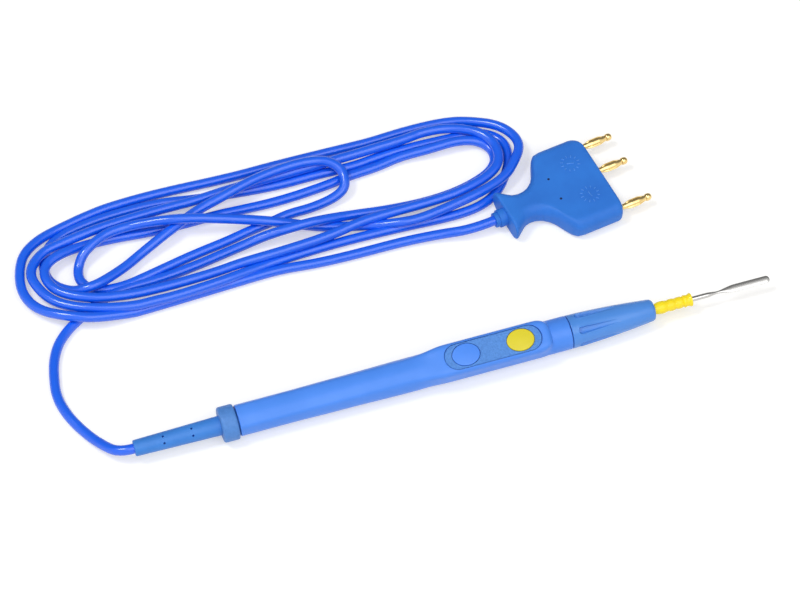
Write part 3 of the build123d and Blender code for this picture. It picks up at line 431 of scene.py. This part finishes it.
x_outer = np.concatenate([
    seam + 0.16 + 0.3 * (1 - np.cos(edge)), np.linspace(seam + 0.5, seam + 5.5, 44),
    np.linspace(seam + 5.7, nose_front - 1.4, 76), nose_front - 1.2 * (1 - np.sin(edge)),
])
inset = np.concatenate([0.3 * (1 - np.sin(edge)), np.zeros(44 + 76), 1.2 * (1 - np.cos(edge))])
turns = np.linspace(0, 2 * np.pi, 360, endpoint=False)
x_grid, turn_grid = np.meshgrid(x_outer, turns, indexing="ij")
radius = nose_radius(x_grid, turn_grid) - inset[:, None]
mouth = ((nose_front, 2.35), (nose_front - 0.25, 2.08), (nose_front - 6.4, 2.08), (nose_front - 6.4, 2.64), (seam + 0.3, 2.64), (seam + 0.16, 2.8))
mouth_x = np.array([[x] * 360 for x, _ in mouth])
mouth_radius = np.array([[r] * 360 for _, r in mouth])
x_grid = np.vstack([x_grid, mouth_x])
radius = np.vstack([radius, mouth_radius])
nose = skin("nose", pencil(x_grid, radius * np.sin(turns), radius * np.cos(turns)), "handle_body", loop=True)
nose.data.materials.append(moulded("moulded_glossy_abs", "#508EE0", 0.24, 0.0005, 0.000006, "#4B89DA", 0.012))
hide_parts("nose_cone")


def revolve(name, profile, turns, body, loop=False, wave=None):
    """Piece turned about the pencil's own line from a profile of (place along it, radius)."""
    turn = np.linspace(0, 2 * np.pi, turns, endpoint=False)
    profile = np.array(profile, dtype=float)
    x_grid, turn_grid = np.meshgrid(profile[:, 0], turn, indexing="ij")
    radius = np.repeat(profile[:, 1:], turns, axis=1)
    return skin(name, pencil(x_grid, radius * np.sin(turn_grid), radius * np.cos(turn_grid)), body, loop=loop)


# Tail collar: a plain ring of a slightly greyer blue, moulded with a fine grain, pushed over the
# tail of the handle. Its edges are well rounded, and a dark gap shows in front of it.
collar_back = -90.1
collar_front = -84.15
collar_radius = 6.6
round_turn = np.radians(np.arange(0, 91, 15))
profile = [(collar_back, 3.68)]
profile += [(collar_back + 0.9 * (1 - np.sin(t)), collar_radius - 0.9 * (1 - np.cos(t))) for t in round_turn[::-1]]
profile += [(collar_front - 0.7 * (1 - np.sin(t)), collar_radius - 0.7 * (1 - np.cos(t))) for t in round_turn]
profile += [(collar_front, 5.25), (collar_back + 1.2, 5.23), (collar_back + 1.2, 3.68)]
collar = revolve("collar", profile, 128, "handle_body", loop=True)
collar.data.materials.append(moulded("moulded_grained_abs", "#5088D2", 0.46, 0.0005, 0.00008, "#487EC6", 0.0012))
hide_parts("tail_collar")

# Strain relief: a soft tapering tube of blue elastomer, pierced by four small holes.
dress(["strain_relief"], moulded("moulded_soft_elastomer", "#3A82D8", 0.42, 0.0006, 0.00002, "#347ACE", 0.008))

# Switch panel: a thin stadium plate with a spark-eroded texture, let into the saddle flush with
# its top, with two oval holes.
dress(["switch_panel"], moulded("spark_textured_abs", "#5490DE", 0.5, 0.0005, 0.0002, "#447CCA", 0.0008))
dress(["coag_button"], moulded("polished_blue_abs", "#4C8CF2", 0.3, 0.0008, 0.000004, "#4888EE", 0.01))
dress(["cut_button"], moulded("polished_yellow_abs", "#DCCE2C", 0.32, 0.0008, 0.000004, "#D6C62A", 0.01))


# Electrode: a stainless rod, hammered and ground into a thin round-ended blade, whose shank slides
# into the nose. A ribbed yellow sleeve moulded on it insulates it and gives the fingers a hold.
sleeve_front = 90.8
rib_lengths = (4.4, 3.25, 3.0)
rib_heights = (0.56, 0.46, 0.4)
rib = np.linspace(0, 1, 13)[1:-1]
profile = [(70.6, 1.21), (70.6, 1.98), (nose_front - 0.3, 1.98), (nose_front + 0.6, 1.98)]
flange = nose_front + 0.9
for rib_length, rib_height in zip(rib_lengths, rib_heights):
    profile += [(flange + rib_length * t, 1.86 + rib_height * np.sin(np.pi * t) ** 0.55) for t in rib]
    flange += rib_length
profile += [(flange, 1.86), (flange + 0.3, 2.25), (flange + 0.7, 2.4), (flange + 1.2, 2.2), (sleeve_front - 1.3, 2.15)]
profile += [(sleeve_front - 0.7, 2.45), (sleeve_front - 0.3, 2.62), (sleeve_front - 0.05, 2.5), (sleeve_front, 1.85), (sleeve_front, 1.06)]
profile += [(sleeve_front - 2.6, 1.05), (sleeve_front - 2.6, 1.21)]
sleeve = revolve("sleeve", profile, 96, "electrode_body", loop=True)
sleeve.data.materials.append(moulded("glossy_yellow_plastic", "#FFE626", 0.2, 0.0008, 0.00001, "#FADC20", 0.01))
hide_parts("electrode_sleeve")

# Blade: section at x is an ellipse, round along the rod, small at the neck, then wide and thin
neck_x = 101.7
tip_x = 122.0
x_rows = np.concatenate([
    np.array([51.2, 51.25, 88.2, 88.3]), np.linspace(88.5, 96.5, 12), np.linspace(97, 108, 60),
    np.linspace(108.5, tip_x - 1.3, 30), tip_x - 1.25 * (1 - np.sin(edge)),
])
flat = eased(x_rows, neck_x - 1.0, neck_x + 6.5)
half_width = np.where(x_rows < 88.25, 1.18, 1.0) - 0.5 * eased(x_rows, 96.8, neck_x) + 0.92 * flat
half_height = np.where(x_rows < 88.25, 1.18, 1.0) - 0.55 * eased(x_rows, 96.8, neck_x) - 0.2 * flat
tip = np.sqrt(np.clip(1 - np.clip((x_rows - tip_x + 1.25) / 1.25, 0, 1) ** 2, 0, 1))
half_width = half_width * (0.12 + 0.88 * tip)
half_height = half_height * (0.35 + 0.65 * tip)
half_width[0] = half_height[0] = 0.8
turns = np.linspace(0, 2 * np.pi, 64, endpoint=False)
blade = skin("blade", pencil(x_rows[:, None], half_width[:, None] * np.sin(turns), half_height[:, None] * np.cos(turns)), "electrode_body")
steel, tree, shader, place = new_material("ground_stainless_steel")
shader.inputs["Base Color"].default_value = linear("#C9C8C6")
shader.inputs["Metallic"].default_value = 1.0
stretched = add_node(tree, "ShaderNodeMapping", values={"Scale": (300.0, 9000.0, 9000.0)}, links={"Vector": (place, "Object")})
lines = add_node(tree, "ShaderNodeTexNoise", values={"Scale": 1.0, "Detail": 3.0}, links={"Vector": (stretched, "Vector")})
rub = add_node(tree, "ShaderNodeMapRange", values={"To Min": 0.14, "To Max": 0.3}, links={"Value": (lines, "Fac")})
tree.links.new(rub.outputs["Result"], shader.inputs["Roughness"])
bump = add_node(tree, "ShaderNodeBump", values={"Strength": 0.6, "Distance": 0.00001}, links={"Height": (lines, "Fac")})
tree.links.new(bump.outputs["Normal"], shader.inputs["Normal"])
blade.data.materials.append(steel)
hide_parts("electrode_blade")

# Plug: overmoulded in soft satin PVC, well rounded, with a waist for the fingers and a flared
# rear flange. Two moulding clocks are shown as plain ticks round a bar, with two gate marks.
plug_turn = np.radians(8.6)
plug_height = 9.8
pin_height = 4.9


def plug(x, side, height):
    """Points of the plug from their place towards the pins, across it and above the table."""
    x, side, height = np.broadcast_arrays(x, side, height)
    return np.stack([
        78.4 + x * np.cos(plug_turn) - side * np.sin(plug_turn),
        63.9 + x * np.sin(plug_turn) + side * np.cos(plug_turn),
        height,
    ], axis=-1)


side_places = (-41.3, -39.6, -37.5, -35.6, -33.3, -30.8, -28.4, -26.0, -24.1, -22.6, -21.2, -19.6, -17.0, -8.0, 0.0)
side_widths = (10.6, 9.4, 7.7, 6.3, 5.7, 5.9, 6.8, 8.7, 11.4, 14.6, 17.4, 19.2, 19.7, 19.7, 19.7)
far_round = 4.6
near_round = 2.6
front_edge = 1.3
rear_round = 1.0
x_rows = np.concatenate([
    -41.3 + rear_round * (1 - np.cos(edge)), np.linspace(-40.2, -4.7, 145), -4.6 * (1 - np.sin(np.radians(np.arange(0, 91, 7.5)))),
])
dense = np.linspace(-46, 6, 1041)
blur = np.hanning(29) / np.hanning(29).sum()
width = np.convolve(np.interp(dense, side_places, side_widths), blur, mode="same")
half_width = np.interp(x_rows, dense, width)
rear = np.clip((-41.3 + rear_round - x_rows) / rear_round, 0, 1)
rear_off = rear_round * (1 - np.sqrt(1 - rear**2))
far_off, near_off, edge_off = [
    rounding * (1 - np.sqrt(1 - np.clip((x_rows + rounding) / rounding, 0, 1) ** 2))
    for rounding in (far_round, near_round, front_edge)
]
half_height = plug_height / 2 - edge_off - rear_off
corner = np.minimum(3.9, 0.92 * half_height)
quarter = np.radians(np.linspace(0, 90, 13))
across = np.linspace(1, -1, 26)[1:-1]
turn = np.concatenate([quarter, np.full(24, np.pi / 2), quarter + np.pi / 2, quarter + np.pi, np.full(24, 1.5 * np.pi), quarter + 1.5 * np.pi])
side_share = np.concatenate([np.ones(13), across, -np.ones(26), -across, np.ones(13)])
height_share = np.concatenate([np.ones(50), -np.ones(50)])
reach = np.where(side_share > 0, (half_width - far_off)[:, None], (half_width - near_off)[:, None]) - rear_off[:, None]
side = side_share * (reach - corner[:, None]) + corner[:, None] * np.cos(turn)
height = pin_height + height_share * (half_height - corner)[:, None] + corner[:, None] * np.sin(turn)
body = skin("plug", plug(x_rows[:, None], side, height), "handle_body")
plug_pvc = moulded("overmoulded_satin_pvc", "#2B79DA", 0.52, 0.0007, 0.00003, "#246ECE", 0.012)
body.data.materials.append(plug_pvc)
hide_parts("plug_body")

# Moulding clocks: twelve ticks and a bar stand up from the plug's top; each gate is a flat disc painted dark, a painted
# shade for the pit it left
mark_radius = 3.3
tick_length = 1.1
line = 0.42
strokes = []
for mark_side, bar_turn in ((8.0, -20.0), (-8.0, -84.0)):
    strokes.append((-9.2, mark_side, np.radians(bar_turn), 2.8))
    for hour in range(12):
        turn = hour * np.pi / 6
        strokes.append((-9.2 + mark_radius * np.cos(turn), mark_side + mark_radius * np.sin(turn), turn, tick_length))
corners, faces = [], []
for x, side, turn, length in strokes:
    first = len(corners)
    for height, grow in ((plug_height - 0.1, 1.0), (plug_height + 0.14, 1.0), (plug_height + 0.2, 0.6)):
        for a, b in ((-0.5, -0.5), (0.5, -0.5), (0.5, 0.5), (-0.5, 0.5)):
            along, across = a * (length - line * (1 - grow)), b * line * grow
            corners.append(plug(
                x + along * np.cos(turn) - across * np.sin(turn), side + along * np.sin(turn) + across * np.cos(turn), height,
            ).ravel() * MM)
    for ring in (0, 4):
        faces += [(first + ring + k, first + ring + (k + 1) % 4, first + ring + 4 + (k + 1) % 4, first + ring + 4 + k) for k in range(4)]
    faces.append((first + 8, first + 9, first + 10, first + 11))
mark_mesh = bpy.data.meshes.new("plug_marks")
mark_mesh.from_pydata([tuple(corner_point) for corner_point in corners], [], faces)
# The ticks and bar are the plug's own PVC with a polished roughness, painted a lighter blue as a painted highlight on
# their raised faces
mark_mesh.materials.append(moulded("polished_marks_painted_highlight", "#4A8EE4", 0.3, 0.0007, 0.00001, "#4486DC", 0.012))
marks = bpy.data.objects.new("plug_marks", mark_mesh)
bpy.context.scene.collection.objects.link(marks)
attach(marks, "handle_body")
gate_turn = np.linspace(0, 2 * np.pi, 20, endpoint=False)
# Gate marks: thin dark-blue discs, painted shade that stands in for the shadow inside each gate's pit
gate_painted_shade = moulded("gate_shadow", "#0A2250", 0.6, 0.0007, 0.00001, "#081E48", 0.012)
for number, gate_side in enumerate((5.05, -5.05), start=1):
    gate = skin(f"gate{number}", np.stack([
        plug(-20.1 + r * np.cos(gate_turn), gate_side + r * np.sin(gate_turn), np.full(20, z)) for r, z in ((0.5, plug_height - 0.2), (0.5, plug_height + 0.02))
    ]), "handle_body")
    gate.data.materials.append(gate_painted_shade)

# Pins: gold plated, a thin rod with a slotted lantern spring round it and a bullet-shaped head
gold, tree, shader, place = new_material("gold_plate")
shader.inputs["Metallic"].default_value = 1.0
shader.inputs["Roughness"].default_value = 0.13
wear = add_node(tree, "ShaderNodeTexNoise", values={"Scale": 250.0, "Detail": 2.0}, links={"Vector": (place, "Object")})
tint = add_node(tree, "ShaderNodeMix", {"data_type": "RGBA"}, links={0: (wear, "Fac")})
tint.inputs[6].default_value = linear("#F8E0A0")
tint.inputs[7].default_value = linear("#EFCB84")
tree.links.new(tint.outputs[2], shader.inputs["Base Color"])
head_round = np.radians(np.arange(0, 91, 10))
pin_profile = [(-10.4, 0.05), (-10.4, 0.95), (0.9, 0.95), (1.0, 1.05), (1.6, 1.05), (1.7, 0.95), (10.8, 0.95), (10.85, 1.3)]
pin_profile += [(10.95, 1.4), (11.8, 1.45)]
pin_profile += [(11.9 + 1.4 * np.sin(t), 0.25 + 1.2 * np.cos(t)) for t in head_round]
pin_profile = np.array(pin_profile)
pin_turns = np.linspace(0, 2 * np.pi, 48, endpoint=False)
# Lantern spring: a thin barrel, rounded in by eased steps at both ends, less four eased slots
spring_rows = np.linspace(1.4, 10.7, 48)
bulge = eased(spring_rows, 1.4, 4.6) * (1 - eased(spring_rows, 7.6, 10.7))
spring_turns = np.linspace(0, 2 * np.pi, 120, endpoint=False)
from_slot = np.abs((spring_turns - np.radians(14) + np.pi / 4) % (np.pi / 2) - np.pi / 4)
slot = 1 - eased(from_slot, np.radians(4), np.radians(10))
spring_radius = (1.12 + 0.62 * bulge)[:, None] - 0.45 * bulge[:, None] * slot
for number, pin_side in enumerate((15.875, 3.175, -15.875), start=1):
    radius = pin_profile[:, 1:]
    pin = skin(f"pin{number}", plug(pin_profile[:, :1], pin_side + radius * np.sin(pin_turns), pin_height + radius * np.cos(pin_turns)), "handle_body")
    pin.data.materials.append(gold)
    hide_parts(f"pin_{number}")
    spring = skin(
        f"pin{number}_spring",
        plug(spring_rows[:, None], pin_side + spring_radius * np.sin(spring_turns), pin_height + spring_radius * np.cos(spring_turns)),
        "handle_body",
    )
    spring.data.materials.append(gold)
    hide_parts(f"pin_spring_{number}")

# Grommet: a stepped collar of the plug's own blue, round the cord behind the flange
dress(["cord_grommet"], plug_pvc)
dress(["cord_end_pencil", "cord_end_plug"], jacket)


def plain_metal(name, colour, roughness, mark):
    """Bare or plated metal with fine marks of its working, given by their spacing in metres."""
    metal, tree, shader, place = new_material(name)
    shader.inputs["Metallic"].default_value = 1.0
    shader.inputs["Base Color"].default_value = linear(colour)
    marks = add_node(tree, "ShaderNodeTexNoise", values={"Scale": 1 / mark, "Detail": 3.0}, links={"Vector": (place, "Object")})
    rub = add_node(tree, "ShaderNodeMapRange", values={"To Min": roughness - 0.06, "To Max": roughness + 0.1}, links={"Value": (marks, "Fac")})
    tree.links.new(rub.outputs["Result"], shader.inputs["Roughness"])
    bump = add_node(tree, "ShaderNodeBump", values={"Strength": 0.5, "Distance": 0.00001}, links={"Height": (marks, "Fac")})
    tree.links.new(bump.outputs["Normal"], shader.inputs["Normal"])
    return metal


# Inside the handle: a turned brass socket with a spring clip holds the electrode, two snap domes
# lie on a glass-epoxy board under the buttons, and a crimped tube grips the cord's jacket.
dress(["electrode_socket"], plain_metal("turned_brass", "#D2B063", 0.3, 0.0004))
dress(["contact_clip", "coag_dome", "cut_dome"], plain_metal("nickel_plated_spring_steel", "#BFBCB4", 0.26, 0.0006))
dress(["crimp_sleeve"], plain_metal("tinned_copper", "#C6C3BE", 0.36, 0.0006))
dress(["circuit_board"], moulded("glass_epoxy_laminate", "#2F6E3E", 0.4, 0.0004, 0.00001, "#285F36", 0.002))

# Wires: one white, one blue and one yellow in the handle, and the same three in the plug, where a
# natural nylon carrier holds the pins.
for number, colour, shade in ((1, "#E4E2DC", "#D8D6CE"), (2, "#2E62B4", "#2A5AA8"), (3, "#DCC83A", "#D0BC32")):
    dress([f"pencil_wire_{number}", f"plug_wire_{number}"], moulded(f"wire_insulation_{number}", colour, 0.4, 0.0004, 0.000006, shade, 0.004))
dress(["pin_carrier"], moulded("natural_nylon", "#DEDACB", 0.45, 0.0006, 0.00001, "#D2CDBC", 0.004))
